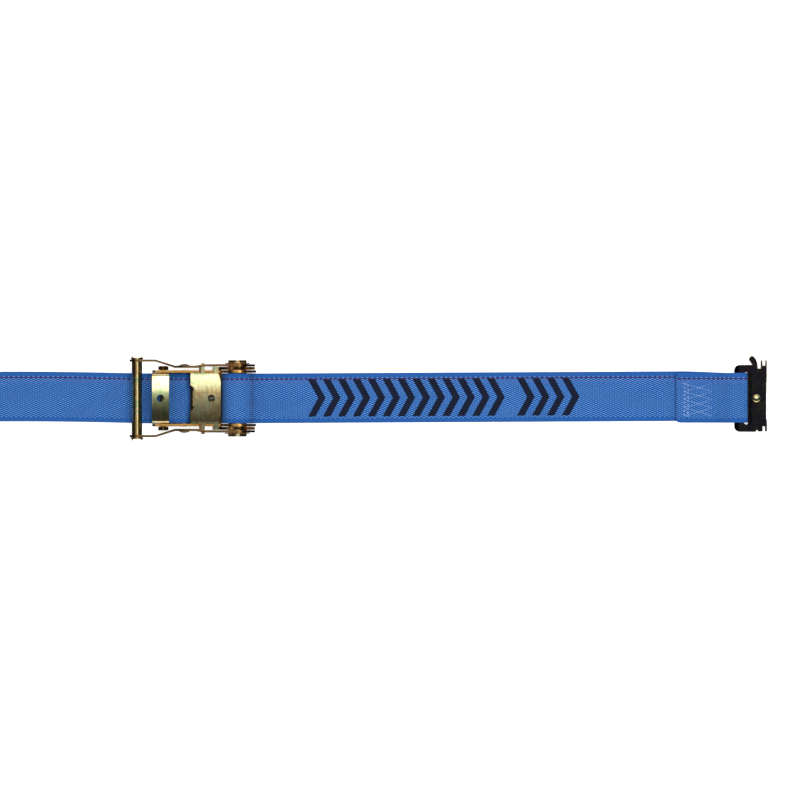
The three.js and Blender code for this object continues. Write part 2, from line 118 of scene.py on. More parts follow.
def tube(points, radius, sides=8):
    """Points and faces of a round wire along a line of Vectors."""
    tangents = []
    for i in range(len(points)):
        a, b = points[max(i - 1, 0)], points[min(i + 1, len(points) - 1)]
        tangents.append((b - a).normalized())
    side = tangents[0].orthogonal().normalized()
    rings = []
    for point, tangent in zip(points, tangents):
        side = (side - tangent * side.dot(tangent)).normalized()
        up = tangent.cross(side)
        rings.append([
            point + side * (radius * math.cos(2 * math.pi * k / sides))
            + up * (radius * math.sin(2 * math.pi * k / sides))
            for k in range(sides)
        ])
    return loft(rings)


def join(parts):
    points, faces = [], []
    for more_points, more_faces in parts:
        base = len(points)
        points += more_points
        faces += [tuple(base + i for i in face) for face in more_faces]
    return points, faces


def arc(x, z, radius, start, end, step=6.0):
    """Points of a circle's arc in (x, z), from start to end in degrees."""
    count = max(2, math.ceil(abs(end - start) / step))
    angles = [math.radians(start + (end - start) * i / count) for i in range(count + 1)]
    return [(x + radius * math.cos(a), z + radius * math.sin(a)) for a in angles]


def run(start, end, step=4.0):
    count = max(2, math.ceil(math.dist(start, end) / step))
    return [
        (start[0] + (end[0] - start[0]) * i / count, start[1] + (end[1] - start[1]) * i / count)
        for i in range(count + 1)
    ]


def chain(*stretches):
    """One line through stretches of points, with doubled points left out."""
    line = []
    for stretch in stretches:
        for point in stretch:
            if not line or math.dist(point, line[-1]) > 0.2:
                line.append(point)
    return line


def eased(line, rounds=3):
    """The line with its corners eased, ends kept."""
    for _ in range(rounds):
        inner = [
            ((a[0] + 2 * b[0] + c[0]) / 4, (a[1] + 2 * b[1] + c[1]) / 4)
            for a, b, c in zip(line, line[1:], line[2:])
        ]
        line = [line[0], *inner, line[-1]]
    return line


def smooth_step(t):
    t = min(1.0, max(0.0, t))
    return t * t * (3 - 2 * t)


# Webbing shapes --------------------------------------------------------------

COLUMNS = 28
EDGE_STEPS = 5
# Over this length each far cut end is darkened: the melted end's own colour, and partly a painted shadow.
SEAL_SHADE_LENGTH = 3.0  # how much of a cut end is melted shut


def webbing(name, line, material, shift=None, thickness=None, trim=None, run_from=None, wave=0.0):
    """A band of webbing along a line of (x, z). Its UV map is the distance along it and across it.

    shift(x, s) moves it sideways, thickness(s) is its thickness, and trim(s, length) is how much
    its two edges are cut back. run_from is the x where the distance along it equals x."""
    s = [0.0]
    for a, b in zip(line, line[1:]):
        s.append(s[-1] + math.dist(a, b))
    length = s[-1]
    offset = 0.0
    if run_from is not None:
        near = min(range(len(line)), key=lambda i: abs(line[i][0] - run_from))
        offset = line[near][0] - s[near]
    rings, uvs, seal_shade = [], [], []
    for i, (x, z) in enumerate(line):
        a, b = line[max(i - 1, 0)], line[min(i + 1, len(line) - 1)]
        step = math.dist(a, b)
        normal = (-(b[1] - a[1]) / step, (b[0] - a[0]) / step)
        half_t = (thickness(s[i], length) if thickness else WEB_T) / 2
        side = shift(x, s[i]) if shift else 0.0
        cut_low, cut_high = trim(s[i], length) if trim else (0.0, 0.0)
        low, high = side - WEB_HALF + cut_low, side + WEB_HALF - cut_high
        lift = wave * (0.5 + 0.3 * math.sin(s[i] / 31.0) + 0.2 * math.sin(s[i] / 12.7 + 1.0))
        ring = []
        for k in range(COLUMNS + 1):
            ring.append((low + half_t + (high - low - 2 * half_t) * k / COLUMNS, half_t))
        for k in range(1, EDGE_STEPS):
            angle = math.pi * k / EDGE_STEPS
            ring.append((high - half_t + half_t * math.sin(angle), half_t * math.cos(angle)))
        for k in range(COLUMNS + 1):
            ring.append((high - half_t - (high - low - 2 * half_t) * k / COLUMNS, -half_t))
        for k in range(1, EDGE_STEPS):
            angle = math.pi * k / EDGE_STEPS
            ring.append((low + half_t - half_t * math.sin(angle), -half_t * math.cos(angle)))
        rings.append([at(x + normal[0] * o, y, z + lift + normal[1] * o) for y, o in ring])
        uvs += [((s[i] + offset) * MM, (y - side) * MM) for y, _ in ring]
        # How dark the far end is: melted end, with a painted shadow.
        seal_shade += [1.0 - smooth_step((length - s[i]) / SEAL_SHADE_LENGTH)] * len(ring)
    points, faces = loft(rings)
    mesh = mesh_of(name, points, faces)
    for polygon in list(mesh.polygons)[-2:]:
        polygon.use_smooth = False
    layer = mesh.uv_layers.new(name="run")
    for loop in mesh.loops:
        layer.data[loop.index].uv = uvs[loop.vertex_index]
    mesh.attributes.new("seal_shade", "FLOAT", "POINT").data.foreach_set("value", seal_shade)
    return link(name, mesh, material)


def thread(name, runs, material, height, pitch=3.0, radius=0.28):
    """Sewn thread: each run of (x, y) is a line of stitches that dip into the cloth."""
    parts = []
    for line in runs:
        for a, b in zip(line, line[1:]):
            count = max(1, round(math.dist(a, b) / pitch))
            for k in range(count):
                stitch = []
                for j in range(7):
                    t = (k + 0.03 + 0.94 * j / 6) / count
                    rise = 0.62 * math.sin(math.pi * j / 6) - 0.42
                    x, y = a[0] + (b[0] - a[0]) * t, a[1] + (b[1] - a[1]) * t
                    stitch.append(at(x, y, height + rise))
                parts.append(tube(stitch, radius * MM, 6))
    return link(name, mesh_of(name, *join(parts)), material)


# Node helpers ----------------------------------------------------------------

class Shader:
    """A material's node tree, with short calls for what the materials here need."""

    def __init__(self, name):
        self.material = bpy.data.materials.new(name)
        self.material.use_nodes = True
        self.tree = self.material.node_tree
        self.bsdf = self.tree.nodes["Principled BSDF"]

    def node(self, kind, **settings):
        made = self.tree.nodes.new(kind)
        for key, value in settings.items():
            setattr(made, key, value)
        return made

    def put(self, value, socket):
        if isinstance(value, bpy.types.NodeSocket):
            self.tree.links.new(value, socket)
        else:
            socket.default_value = value

    def math(self, operation, a, b=0.0, c=0.0):
        made = self.node("ShaderNodeMath", operation=operation)
        for value, socket in zip((a, b, c), made.inputs):
            self.put(value, socket)
        return made.outputs[0]

    def span(self, value, low, high, to_low=0.0, to_high=1.0, smooth=True):
        made = self.node("ShaderNodeMapRange", interpolation_type="SMOOTHSTEP" if smooth else "LINEAR")
        for item, socket in zip((value, low, high, to_low, to_high), made.inputs):
            self.put(item, socket)
        return made.outputs[0]

    def mix(self, share, a, b, blend="MIX"):
        made = self.node("ShaderNodeMix", data_type="RGBA", blend_type=blend)
        for value, socket in ((share, made.inputs[0]), (a, made.inputs[6]), (b, made.inputs[7])):
            self.put((*value, 1.0) if isinstance(value, tuple) and len(value) == 3 else value, socket)
        return made.outputs[2]

    def noise(self, vector, scale, detail=2.0, rough=0.5, distortion=0.0):
        made = self.node("ShaderNodeTexNoise")
        self.put(vector, made.inputs["Vector"])
        for key, value in (("Scale", scale), ("Detail", detail), ("Roughness", rough),
                           ("Distortion", distortion)):
            made.inputs[key].default_value = value
        return made.outputs["Fac"]

    def scaled(self, vector, scale):
        made = self.node("ShaderNodeVectorMath", operation="MULTIPLY")
        self.put(vector, made.inputs[0])
        made.inputs[1].default_value = scale
        return made.outputs[0]

    def place(self):
        return self.node("ShaderNodeTexCoord").outputs["Object"]

    def split(self, vector):
        made = self.node("ShaderNodeSeparateXYZ")
        self.put(vector, made.inputs[0])
        return made.outputs

    def ramp(self, value, stops):
        made = self.node("ShaderNodeValToRGB")
        self.put(value, made.inputs[0])
        elements = made.color_ramp.elements
        while len(elements) < len(stops):
            elements.new(0.5)
        for element, (position, colour) in zip(elements, stops):
            element.position = position
            element.color = (*colour, 1.0)
        return made.outputs[0]

    def bump(self, height, distance, strength=1.0, after=None):
        made = self.node("ShaderNodeBump")
        made.inputs["Strength"].default_value = strength
        made.inputs["Distance"].default_value = distance
        self.put(height, made.inputs["Height"])
        if after is not None:
            self.put(after, made.inputs["Normal"])
        return made.outputs[0]

    def finish(self, **sockets):
        for key, value in sockets.items():
            socket = self.bsdf.inputs[key.replace("_", " ")]
            if isinstance(value, tuple) and len(value) == 3:
                value = (*value, 1.0)
            self.put(value, socket)
        return self.material


# Materials ---------------------------------------------------------------------

# Painted light on the frame's channel: a painted orange reflection along the walls' top edges, and painted
# shade deep between the walls.
TOP_EDGE_REFLECTION = (28.6 * MM, 29.3 * MM)  # the walls' sheared top edges start here
SHADE_INSIDE = (26.2 * MM, 25.6 * MM)  # from the walls' inner faces inwards
SHADE_DEPTH = (22.0 * MM, 8.0 * MM)  # it darkens from the first height to the second


def zinc(name, rough=0.17, tone=(1.0, 1.0, 1.0), streak=(1.0, 1.0, 1.0), painted_channel=False):
    """Yellow zinc plate: gold with olive, straw, rose and green clouds, and a fine grain. On the frame's
    channel it also paints light: an orange reflection on the walls' top edges and shade deep between the
    walls.
    """
    s = Shader(name)
    place = s.place()
    cloud = s.noise(place, 48.0, 4.0, 0.6, 0.8)
    film = s.ramp(cloud, [
        (0.30, (0.50, 0.27, 0.13)), (0.42, (0.76, 0.52, 0.21)), (0.50, (0.80, 0.66, 0.34)),
        (0.58, (0.42, 0.52, 0.23)), (0.68, (0.72, 0.52, 0.26)),
    ])
    mottle = s.noise(place, 300.0, 3.0, 0.6)
    film = s.mix(s.span(mottle, 0.44, 0.66, 0.0, 0.40), film, (0.36, 0.42, 0.20))
    film = s.mix(1.0, film, tone, "MULTIPLY")
    if streak != (1.0, 1.0, 1.0):
        drawn = s.noise(s.scaled(place, (900.0, 55.0, 55.0)), 1.0, 2.0)
        film = s.mix(s.span(drawn, 0.35, 0.70, 0.0, 0.42), film, (0.30, 0.25, 0.14))
    if painted_channel:
        _, across, height = s.split(place)
        # Painted reflection: the walls' top edges are coloured orange.
        film = s.mix(s.span(height, *TOP_EDGE_REFLECTION), film, (0.78, 0.42, 0.12))
        # Painted shade: near black on the inside of the channel, low down between the walls.
        shade_between_walls = s.span(s.math("ABSOLUTE", across), *SHADE_INSIDE)
        painted_shade = s.math("MULTIPLY", shade_between_walls, s.span(height, *SHADE_DEPTH))
        film = s.mix(s.math("MULTIPLY", painted_shade, 0.94), film, (0.030, 0.018, 0.014))
    grain = s.noise(s.scaled(place, streak), 1100.0, 2.0, 0.6)
    roughness = s.math("ADD", s.span(grain, 0.3, 0.7, rough - 0.03, rough + 0.05),
                       s.span(mottle, 0.5, 0.7, 0.0, 0.05))
    return s.finish(Base_Color=film, Metallic=1.0, Roughness=roughness,
                    Normal=s.bump(grain, 0.00002, 0.15))


def smoked_zinc(name):
    """The fittings' dark plate: nearly black, with a violet and olive bloom."""
    s = Shader(name)
    place = s.place()
    cloud = s.noise(place, 70.0, 3.0, 0.6, 0.6)
    film = s.ramp(cloud, [
        (0.34, (0.016, 0.010, 0.014)), (0.48, (0.010, 0.011, 0.017)), (0.62, (0.017, 0.017, 0.011)),
    ])
    grain = s.noise(place, 1100.0, 2.0, 0.6)
    film = s.mix(s.span(grain, 0.62, 0.74, 0.0, 0.3), film, (0.06, 0.055, 0.045))
    return s.finish(Base_Color=film, Metallic=1.0, Roughness=s.span(grain, 0.3, 0.7, 0.20, 0.32),
                    Normal=s.bump(grain, 0.00003, 0.3))


def worn_and_highlit_edge(name, colour):
    """Where the plating has rubbed through along an edge; its bright colour is also a painted highlight on
    the edge.
    """
    s = Shader(name)
    rub_and_glint = s.noise(s.place(), 500.0, 3.0, 0.6)
    base = s.mix(s.span(rub_and_glint, 0.40, 0.60), colour, tuple(min(1.0, c * 1.5) for c in colour))
    rough = s.span(rub_and_glint, 0.3, 0.7, 0.20, 0.42)
    return s.finish(Base_Color=base, Metallic=1.0, Roughness=rough)


def spring_wire(name):
    s = Shader(name)
    grain = s.noise(s.place(), 1800.0, 2.0, 0.5)
    base = s.mix(grain, (0.42, 0.42, 0.42), (0.74, 0.74, 0.72))
    return s.finish(Base_Color=base, Metallic=1.0, Roughness=s.span(grain, 0.3, 0.7, 0.2, 0.4))


ROW = 1.05 * MM  # one warp yarn
FLOAT = 5.0 * MM  # from one float of a yarn to its next
EDGE_FLOAT = 1.8 * MM  # the same in the plain edges
SELVAGE = (20.6 * MM, 21.2 * MM)  # where the plain edges start, from the middle
TRACER = 19.4 * MM  # the tracer yarn's place across the webbing
FAINT_TRACER = TRACER - 3.4 * MM
TRACER_REPEAT = 11.3 * MM
INK_FROM = 81.6 * MM
INK_PITCH = 15.2 * MM
INK_BARS = 18
INK_SKIPS = 13  # the bar left out between the two groups
INK_HALF = 19.0 * MM


def cloth(name, printed=False):
    """Woven polyester webbing: floats in a checkerboard, plain edges and a dark red tracer."""
    s = Shader(name)
    uv = s.node("ShaderNodeUVMap", uv_map="run").outputs[0]
    along, across, _ = s.split(uv)
    row = s.math("DIVIDE", across, ROW)
    index = s.math("FLOOR", row)
    within = s.math("SUBTRACT", s.math("FRACT", row), 0.5)
    round_yarn = s.math("COSINE", s.math("MULTIPLY", within, math.pi * 0.94))
    half_turn = s.math("MULTIPLY", index, math.pi)
    wander = s.noise(s.scaled(uv, (90.0, 300.0, 1.0)), 1.0, 2.0)

    def floats(period):
        turn = s.math("MULTIPLY_ADD", along, 2 * math.pi / period, half_turn)
        turn = s.math("MULTIPLY_ADD", wander, 1.6, turn)
        return s.math("MULTIPLY_ADD", s.math("COSINE", turn), 0.5, 0.5)

    up = floats(FLOAT)
    body = s.math("MULTIPLY", round_yarn, s.math("MULTIPLY_ADD", up, 0.62, 0.38))
    edge_up = floats(EDGE_FLOAT)
    edge = s.math("MULTIPLY", round_yarn, s.math("MULTIPLY_ADD", edge_up, 0.3, 0.45))
    at_edge = s.span(s.math("ABSOLUTE", across), *SELVAGE)
    height = s.math("ADD", s.math("MULTIPLY", body, s.math("SUBTRACT", 1.0, at_edge)),
                    s.math("MULTIPLY", edge, at_edge))
    filament = s.noise(s.scaled(uv, (260.0, 9000.0, 1.0)), 1.0, 1.0)
    # Colour follows the weave's relief: painted shade on the sides of each yarn and on the sunken floats, a
    # painted highlight on the crests, and real tone from the filaments.
    shade = s.math("MULTIPLY_ADD", filament, 0.22, s.math("SUBTRACT", height, 0.11))
    blue = s.ramp(shade, [
        (0.05, (0.003, 0.036, 0.215)), (0.40, (0.012, 0.098, 0.385)),
        (0.68, (0.044, 0.192, 0.560)), (0.90, (0.230, 0.480, 0.880)),
    ])
    cloud = s.noise(s.scaled(uv, (28.0, 60.0, 1.0)), 1.0, 3.0)
    blue = s.mix(s.span(cloud, 0.35, 0.7, 0.0, 0.16), blue, (0.02, 0.10, 0.36))

    def yarn_at(place, width):
        off = s.math("ABSOLUTE", s.math("SUBTRACT", across, place))
        return s.span(off, width, width * 0.75)

    dash = s.span(s.math("ADD", up, s.math("MULTIPLY", filament, 0.2)), 0.12, 0.42)
    red = s.mix(s.span(floats(TRACER_REPEAT), 0.3, 0.7), (0.035, 0.012, 0.055), (0.110, 0.014, 0.052))
    tracer = s.math("MULTIPLY", yarn_at(TRACER, 0.85 * MM), dash)
    blue = s.mix(s.math("MULTIPLY", tracer, 0.95), blue, red)
    faint = s.math("MULTIPLY", yarn_at(FAINT_TRACER, 0.5 * MM), dash)
    blue = s.mix(s.math("MULTIPLY", faint, 0.14), blue, (0.42, 0.14, 0.42))
    if printed:
        slant = s.math("MULTIPLY_ADD", s.math("ABSOLUTE", across), 0.55, along)
        place = s.math("DIVIDE", s.math("SUBTRACT", slant, INK_FROM), INK_PITCH)
        number = s.math("FLOOR", place)
        bars = s.math("LESS_THAN", s.math("FRACT", place), 0.5)
        for wanted in (
            s.math("GREATER_THAN", place, 0.0),
            s.math("LESS_THAN", number, INK_BARS - 0.5),
            s.math("GREATER_THAN", s.math("ABSOLUTE", s.math("SUBTRACT", number, INK_SKIPS)), 0.5),
            s.math("LESS_THAN", s.math("ABSOLUTE", across), INK_HALF),
        ):
            bars = s.math("MULTIPLY", bars, wanted)
        hold = s.span(s.math("ADD", height, s.math("MULTIPLY", cloud, 0.5)), 0.15, 0.55, 0.74, 0.98)
        blue = s.mix(s.math("MULTIPLY", bars, hold), blue, (0.006, 0.007, 0.018))
    # Darker near the far cut end: the melted end's own colour, with a painted shadow.
    seal_shade_mask = s.node("ShaderNodeAttribute", attribute_name="seal_shade").outputs["Fac"]
    blue = s.mix(s.math("MULTIPLY", seal_shade_mask, 0.75), blue, (0.008, 0.035, 0.150))
    rough = s.span(height, 0.0, 1.0, 0.85, 0.5)
    relief = s.math("MULTIPLY_ADD", filament, 0.25, height)
    return s.finish(Base_Color=blue, Roughness=rough, Sheen_Weight=0.04, Sheen_Roughness=0.4,
                    Specular_IOR_Level=0.15, Normal=s.bump(relief, 0.00045, 0.9))


def sewing(name):
    s = Shader(name)
    place = s.place()
    twist = s.noise(place, 2600.0, 2.0)
    base = s.mix(twist, (0.12, 0.24, 0.58), (0.44, 0.57, 0.86))
    return s.finish(Base_Color=base, Roughness=0.55, Sheen_Weight=0.2,
                    Normal=s.bump(twist, 0.0001, 0.6))


ZINC = zinc("yellow_zinc")
ZINC_PLATE = zinc("yellow_zinc_plate", rough=0.14, tone=(0.94, 1.04, 1.14), streak=(3.0, 0.35, 1.0))
# The frame's plating, with a painted orange reflection on its top edges and painted shade deep in its
# channel.
ZINC_PAINTED_CHANNEL = zinc("yellow_zinc_painted_channel", painted_channel=True)
# A darker, browner copy of the yellow zinc: painted shade.
ZINC_SHADED = zinc("yellow_zinc_shaded", tone=(0.46, 0.31, 0.25))
SMOKED = smoked_zinc("smoked_zinc")
# Bevel colours: part worn plating, part painted highlight along the edges.
EDGE = worn_and_highlit_edge("yellow_zinc_edge", (0.62, 0.34, 0.09))
SMOKED_EDGE = worn_and_highlit_edge("smoked_zinc_edge", (0.62, 0.48, 0.18))
WIRE = spring_wire("spring_steel_wire")
CLOTH = cloth("blue_cloth")
CLOTH_PRINTED = cloth("blue_cloth_printed", printed=True)
SEWING = sewing("pale_thread")


# The two webbings: they come first, because they set how far the object spreads ------

EYE_TURN = 3.0
EYE_PARTS, EYE_RISEN = 486.0, 502.0  # the upper layer leaves the lower one, and lies over the bar
EYE_LOW = WEB_T / 2
EYE_HIGH = EYE_TOP - WEB_T / 2
EYE_CENTRE = EYE_NOSE - WEB_T / 2 - EYE_TURN


def mirrored(x):
    """The place on the left end that matches x on the right end."""
    return FIXED_NOSE + EYE_NOSE - x


def eye_line(start, rise_from, rise_to, top_end, top_z):
    """Under the fitting's bar, round it and back over the top to where the end is sewn down.

    Between rise_from and rise_to the folded-back end climbs to top_z, over what it laps."""
    sewn_z = 1.5 * WEB_T + 0.1
    return chain(
        run(start, (EYE_CENTRE, EYE_LOW)),
        arc(EYE_CENTRE, EYE_LOW + EYE_TURN, EYE_TURN, -90.0, 0.0, 15.0),
        arc(EYE_CENTRE, EYE_HIGH - EYE_TURN, EYE_TURN, 0.0, 90.0, 15.0),
        run((EYE_CENTRE, EYE_HIGH), (EYE_RISEN, EYE_HIGH), 2.0),
        run((EYE_RISEN, EYE_HIGH), (EYE_PARTS, sewn_z), 2.0),
        run((EYE_PARTS, sewn_z), (rise_from, sewn_z)),
        run((rise_from, sewn_z), (rise_to, top_z), 2.0),
        run((rise_to, top_z), (top_end, top_z), 2.0),
    )


def rounded_end(s, length):
    """The folded-back end is cut with one rounded corner."""
    rest = length - s
    return 2.4 * (1 - smooth_step(rest / 4.0)), 0.5 * (1 - smooth_step(rest / 2.5))


exit_r = ROLL_R + GAP + WEB_T / 2
adjustable_line = eased(chain(
    arc(0.0, AXIS_Z, exit_r, 226.0, 273.6),
    run((1.1, AXIS_Z - exit_r), (60.0, WEB_T / 2)),
    eye_line((60.0, WEB_T / 2), EYE_FROM + 1.0, EYE_FROM - 0.3, EYE_FROM - 0.3, 1.5 * WEB_T + 0.15),
))
FOLD_S = 545.0  # distance along the adjustable webbing to its nose, about
NOSE_SHIFT = 0.6  # how far to one side it passes through its fitting's slot


def adjustable_shift(x, s):
    """It lies a touch askew, and its folded-back end a little lower than the run below it."""
    if s > FOLD_S:
        return NOSE_SHIFT
    askew = 2.2 * max(0.0, x - 20.0) / 425.0
    return askew + (NOSE_SHIFT - askew) * smooth_step((x - 450.0) / 54.0)


def exit_thickness(s, length):
    """It thins to nothing where the wound webbing takes over."""
    return WEB_T * (0.2 + 0.8 * smooth_step(s / 9.0))


adjustable = webbing("adjustable_strap", adjustable_line, CLOTH_PRINTED, shift=adjustable_shift,
                     thickness=exit_thickness, trim=rounded_end, run_from=200.0, wave=0.3)
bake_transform(adjustable)
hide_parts("adjustable_webbing", "adjustable_webbing_eye")

LOOP_R = ROD_R + GAP + WEB_T / 2
UPPER_Z = 1.5 * WEB_T + 0.05
left_eye = [(mirrored(x), z) for x, z in eye_line(
    (440.0, WEB_T / 2), EYE_FROM + 7.0, EYE_FROM - 2.0, EYE_FROM - LAP, 2.5 * WEB_T + 0.25)]
UPPER_FROM = -286.0  # where the upper layer of the fixed webbing starts, under the lap
fixed_line = eased(chain(
    run((UPPER_FROM, UPPER_Z), (-125.0, UPPER_Z)),
    run((-125.0, UPPER_Z), (ROD_X - 3.0, ROD_Z + LOOP_R - 0.6)),
    arc(ROD_X, ROD_Z, LOOP_R, 102.0, -92.0, 10.0),
    run((ROD_X - 3.0, ROD_Z - LOOP_R - 0.4), (-112.0, WEB_T / 2)),
    run((-112.0, WEB_T / 2), (mirrored(440.0), WEB_T / 2)),
    left_eye,
))


BOW_FROM = -95.0  # clear of the frame's walls
BOW_LENGTH = 255.0


def fixed_shift(x, s):
    """The fixed webbing bows a little sideways on its way to its fitting."""
    return 1.9 * math.sin(math.pi * min(1.0, max(0.0, (BOW_FROM - x) / BOW_LENGTH)))


fixed = webbing("fixed_strap", fixed_line, CLOTH, shift=fixed_shift, trim=rounded_end, run_from=-200.0)
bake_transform(fixed)
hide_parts("fixed_webbing", "fixed_webbing_eye")


# Stitching: a tight zigzag along the cut end, and diamonds that hold the two layers ------

def zigzag(near, far, low, high, count, flip=0):
    return [(near if (k + flip) % 2 else far, low + (high - low) * k / count) for k in range(count + 1)]


def stitching(name, place, low, high, surface_z):
    runs = [zigzag(place(EYE_FROM + 7.5), place(EYE_FROM + 14.6), low, high, 18)]
    for flip in (0, 1):
        runs.append(zigzag(place(EYE_FROM + 9.5), place(EYE_FROM + 38.0), low + 0.5, high - 2.0, 4, flip))
    piece = thread(name, runs, SEWING, surface_z)
    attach(piece, "frame")
    return piece


right_stitching = stitching("right_stitching", lambda x: x, -18.5, 17.0, 2 * WEB_T + 0.1)
left_stitching = stitching("left_stitching", mirrored, -17.5, 18.5, 2 * WEB_T + 0.1)
lap_runs = [zigzag(mirrored(EYE_FROM - 8.5), mirrored(EYE_FROM - 4.5), -17.0, 19.0, 26)]
lap_stitching = thread("lap_stitching", lap_runs, SEWING, 3 * WEB_T + 0.2)
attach(lap_stitching, "frame")


# The webbing wound on the mandrel: a spiral from the mandrel's slot ------------------

WOUND_T = 1.42
wound_turns = 3 * 360 + 240
wound_line = [(-8.0 + 1.5 * k, AXIS_Z) for k in range(12)]
for step in range(1, wound_turns // 6 + 1):
    angle = 6.0 * step
    radius = 10.5 + 5.25 * angle / wound_turns
    turned = math.radians(angle)
    wound_line.append((radius * math.cos(turned), AXIS_Z + radius * math.sin(turned)))


def wound_thickness(s, length):
    return WOUND_T * (0.2 + 0.8 * smooth_step((length - s) / 6.0))


wound = webbing("wound_webbing", wound_line, CLOTH, thickness=wound_thickness)
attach(wound, "mandrel")
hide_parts("webbing_roll")


# Plates that are a little crowned ---------------------------------------------------

PLATE_EDGE = 0.35 * MM
CUTS, CUT_STEP = 12, 2.05 * MM  # cuts across Y on each side of the middle, so the crown can bend


def crowned(node, name, body, material, above, rise, half):
    """A CAD plate with eased edges and a slight crown across Y in what lies above a height."""
    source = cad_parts[node].data
    work = bmesh.new()
    work.from_mesh(source)
    bmesh.ops.remove_doubles(work, verts=work.verts, dist=1e-6)
    bmesh.ops.dissolve_limit(work, angle_limit=math.radians(1.0), verts=work.verts, edges=work.edges)
    sharp = [e for e in work.edges if len(e.link_faces) == 2 and e.calc_face_angle() > math.radians(30)]
    bmesh.ops.bevel(work, geom=sharp, offset=PLATE_EDGE, segments=3, profile=0.5,
                    affect="EDGES", clamp_overlap=True)
    for k in range(-CUTS, CUTS + 1):
        bmesh.ops.bisect_plane(
            work, geom=[*work.verts, *work.edges, *work.faces], dist=1e-7,
            plane_co=(0, k * CUT_STEP, 0), plane_no=(0, 1, 0))
    for vert in work.verts:
        share = smooth_step((vert.co.z / MM - above + 2.0) / 2.0)
        across = min(1.0, abs(vert.co.y) / (half * MM))
        vert.co.z += share * rise * (1.0 - across ** 2) * MM
    mesh = bpy.data.meshes.new(name)
    work.to_mesh(mesh)
    work.free()
    mesh.polygons.foreach_set("use_smooth", [True] * len(mesh.polygons))
    piece = link(name, mesh, material)
    smooth = piece.modifiers.new("normals", "WEIGHTED_NORMAL")
    smooth.keep_sharp = True
    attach(piece, body)
    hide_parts(node)
    return piece


crowned("strap_guard", "strap_guard_plate", "frame", ZINC_PLATE, above=31.0, rise=2.3, half=WEB_HALF)
crowned("release_plate", "release_plate_pressed", "release_plate", ZINC_PLATE,
        above=33.0, rise=1.2, half=WEB_HALF)


# Springs and split pins ---------------------------------------------------------------

def spring(name, node, start, axis, length, outer, wire, turns):
    """A coil with closed ends, from start along axis, between its two bodies."""
    axis = Vector(axis)
    side = axis.orthogonal().normalized()
    up = axis.cross(side)
    count = int(turns * 20)
    line = []
    for k in range(count + 1):
        t = k / count
        closed = 0.5 * (1 - math.cos(math.pi * t))
        along = wire + (length - 2 * wire) * (0.35 * closed + 0.65 * t)
        turn = 2 * math.pi * turns * t
        radius = outer - wire
        round_it = side * (radius * math.cos(turn)) + up * (radius * math.sin(turn))
        line.append(start + (axis * along + round_it) * MM)
    piece = link(name, mesh_of(name, *tube(line, wire * MM, 10)), WIRE)
    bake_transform(piece)
    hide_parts(node)


spring("locking_coil", "locking_spring", at(-43.1, 0, 13.2), (1, 0, 0),
       length=11.6, outer=2.5, wire=0.5, turns=7)
spring("drive_coil", "drive_spring", at(-34.7, 0, 29.55), (1, 0, 0),
       length=13.5, outer=2.2, wire=0.45, turns=8)
for name, x, turn in (("right", EYE_NOSE + RIVET_FROM_NOSE, 1), ("left", FIXED_NOSE - RIVET_FROM_NOSE, -1)):
    spring(f"{name}_latch_coil", f"{name}_fitting_spring",
           at(x + 3 * turn, -21.2 * turn, FIT_Z), (0, turn, 0),
           length=13.8, outer=2.3, wire=0.45, turns=8)


PIN_Y = 37.1
PIN_WIRE = 0.52
EYE_R = 1.45


def split_pin(letter, side):
    """One wire bent double: an eye on top, two legs, and their ends spread."""
    low, high, apart = AXIS_Z - 11.4, AXIS_Z + 12.6, 0.55
    leg = [(3.4, low - 0.9), (1.8, low - 0.7), (0.8, low + 0.1), (apart, low + 1.2), (apart, high - 0.6)]
    flat = [(-x, z) for x, z in leg]
    for degrees in range(235, -56, -15):
        turned = math.radians(degrees)
        flat.append((EYE_R * math.cos(turned), high + 1.6 + EYE_R * math.sin(turned)))
    flat += reversed(leg)
    line = [at(x, PIN_Y * side, z) for x, z in flat]
    name = f"split_pin_{letter}"
    piece = link(name, mesh_of(name, *tube(line, PIN_WIRE * MM, 10)), ZINC)
    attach(piece, "mandrel")
    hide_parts(f"cotter_pin_{letter}")


split_pin("a", 1)
split_pin("b", -1)


# The other metal parts keep their CAD shape, with eased edges and a plated finish ------

def plated(node, material, edge_material, width=0.25, angle=32.0):
    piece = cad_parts[node]
    piece.data.materials.clear()
    piece.data.materials.append(material)
    piece.data.materials.append(edge_material)
    piece.data.polygons.foreach_set("use_smooth", [True] * len(piece.data.polygons))
    weld = piece.modifiers.new("weld", "WELD")
    weld.merge_threshold = 1e-6
    flat = piece.modifiers.new("flat", "DECIMATE")
    flat.decimate_type = "DISSOLVE"
    flat.angle_limit = math.radians(1.0)
    edge = piece.modifiers.new("edge", "BEVEL")
    edge.width = width * MM
    edge.segments = 2
    edge.limit_method = "ANGLE"
    edge.angle_limit = math.radians(angle)
    # The bevels take the second material: part wear, part painted highlight.
    edge.material = 1
    normals = piece.modifiers.new("normals", "WEIGHTED_NORMAL")
    normals.keep_sharp = True


# Parts that get the darker copy of the yellow zinc, as painted shade.
SHADED_NODES = ("handle_arm", "ratchet_wheel", "rear_", "end_washer", "locking_pawl", "handle_bridge")
SHOWN_AS_MADE = ("strap_guard", "release_plate", "cotter_pin_a", "cotter_pin_b")
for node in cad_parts:
    if node in SHOWN_AS_MADE or "spring" in node or "webbing" in node:
        continue
    if node.endswith(("fitting_body", "fitting_latch")):
        plated(node, SMOKED, SMOKED_EDGE, width=0.35)
    elif node == "frame":
        plated(node, ZINC_PAINTED_CHANNEL, EDGE)
    elif node.startswith(SHADED_NODES):
        plated(node, ZINC_SHADED, EDGE)
    else:
        plated(node, ZINC, EDGE)


# Floor, backdrop and lights --------------------------------------------------------------

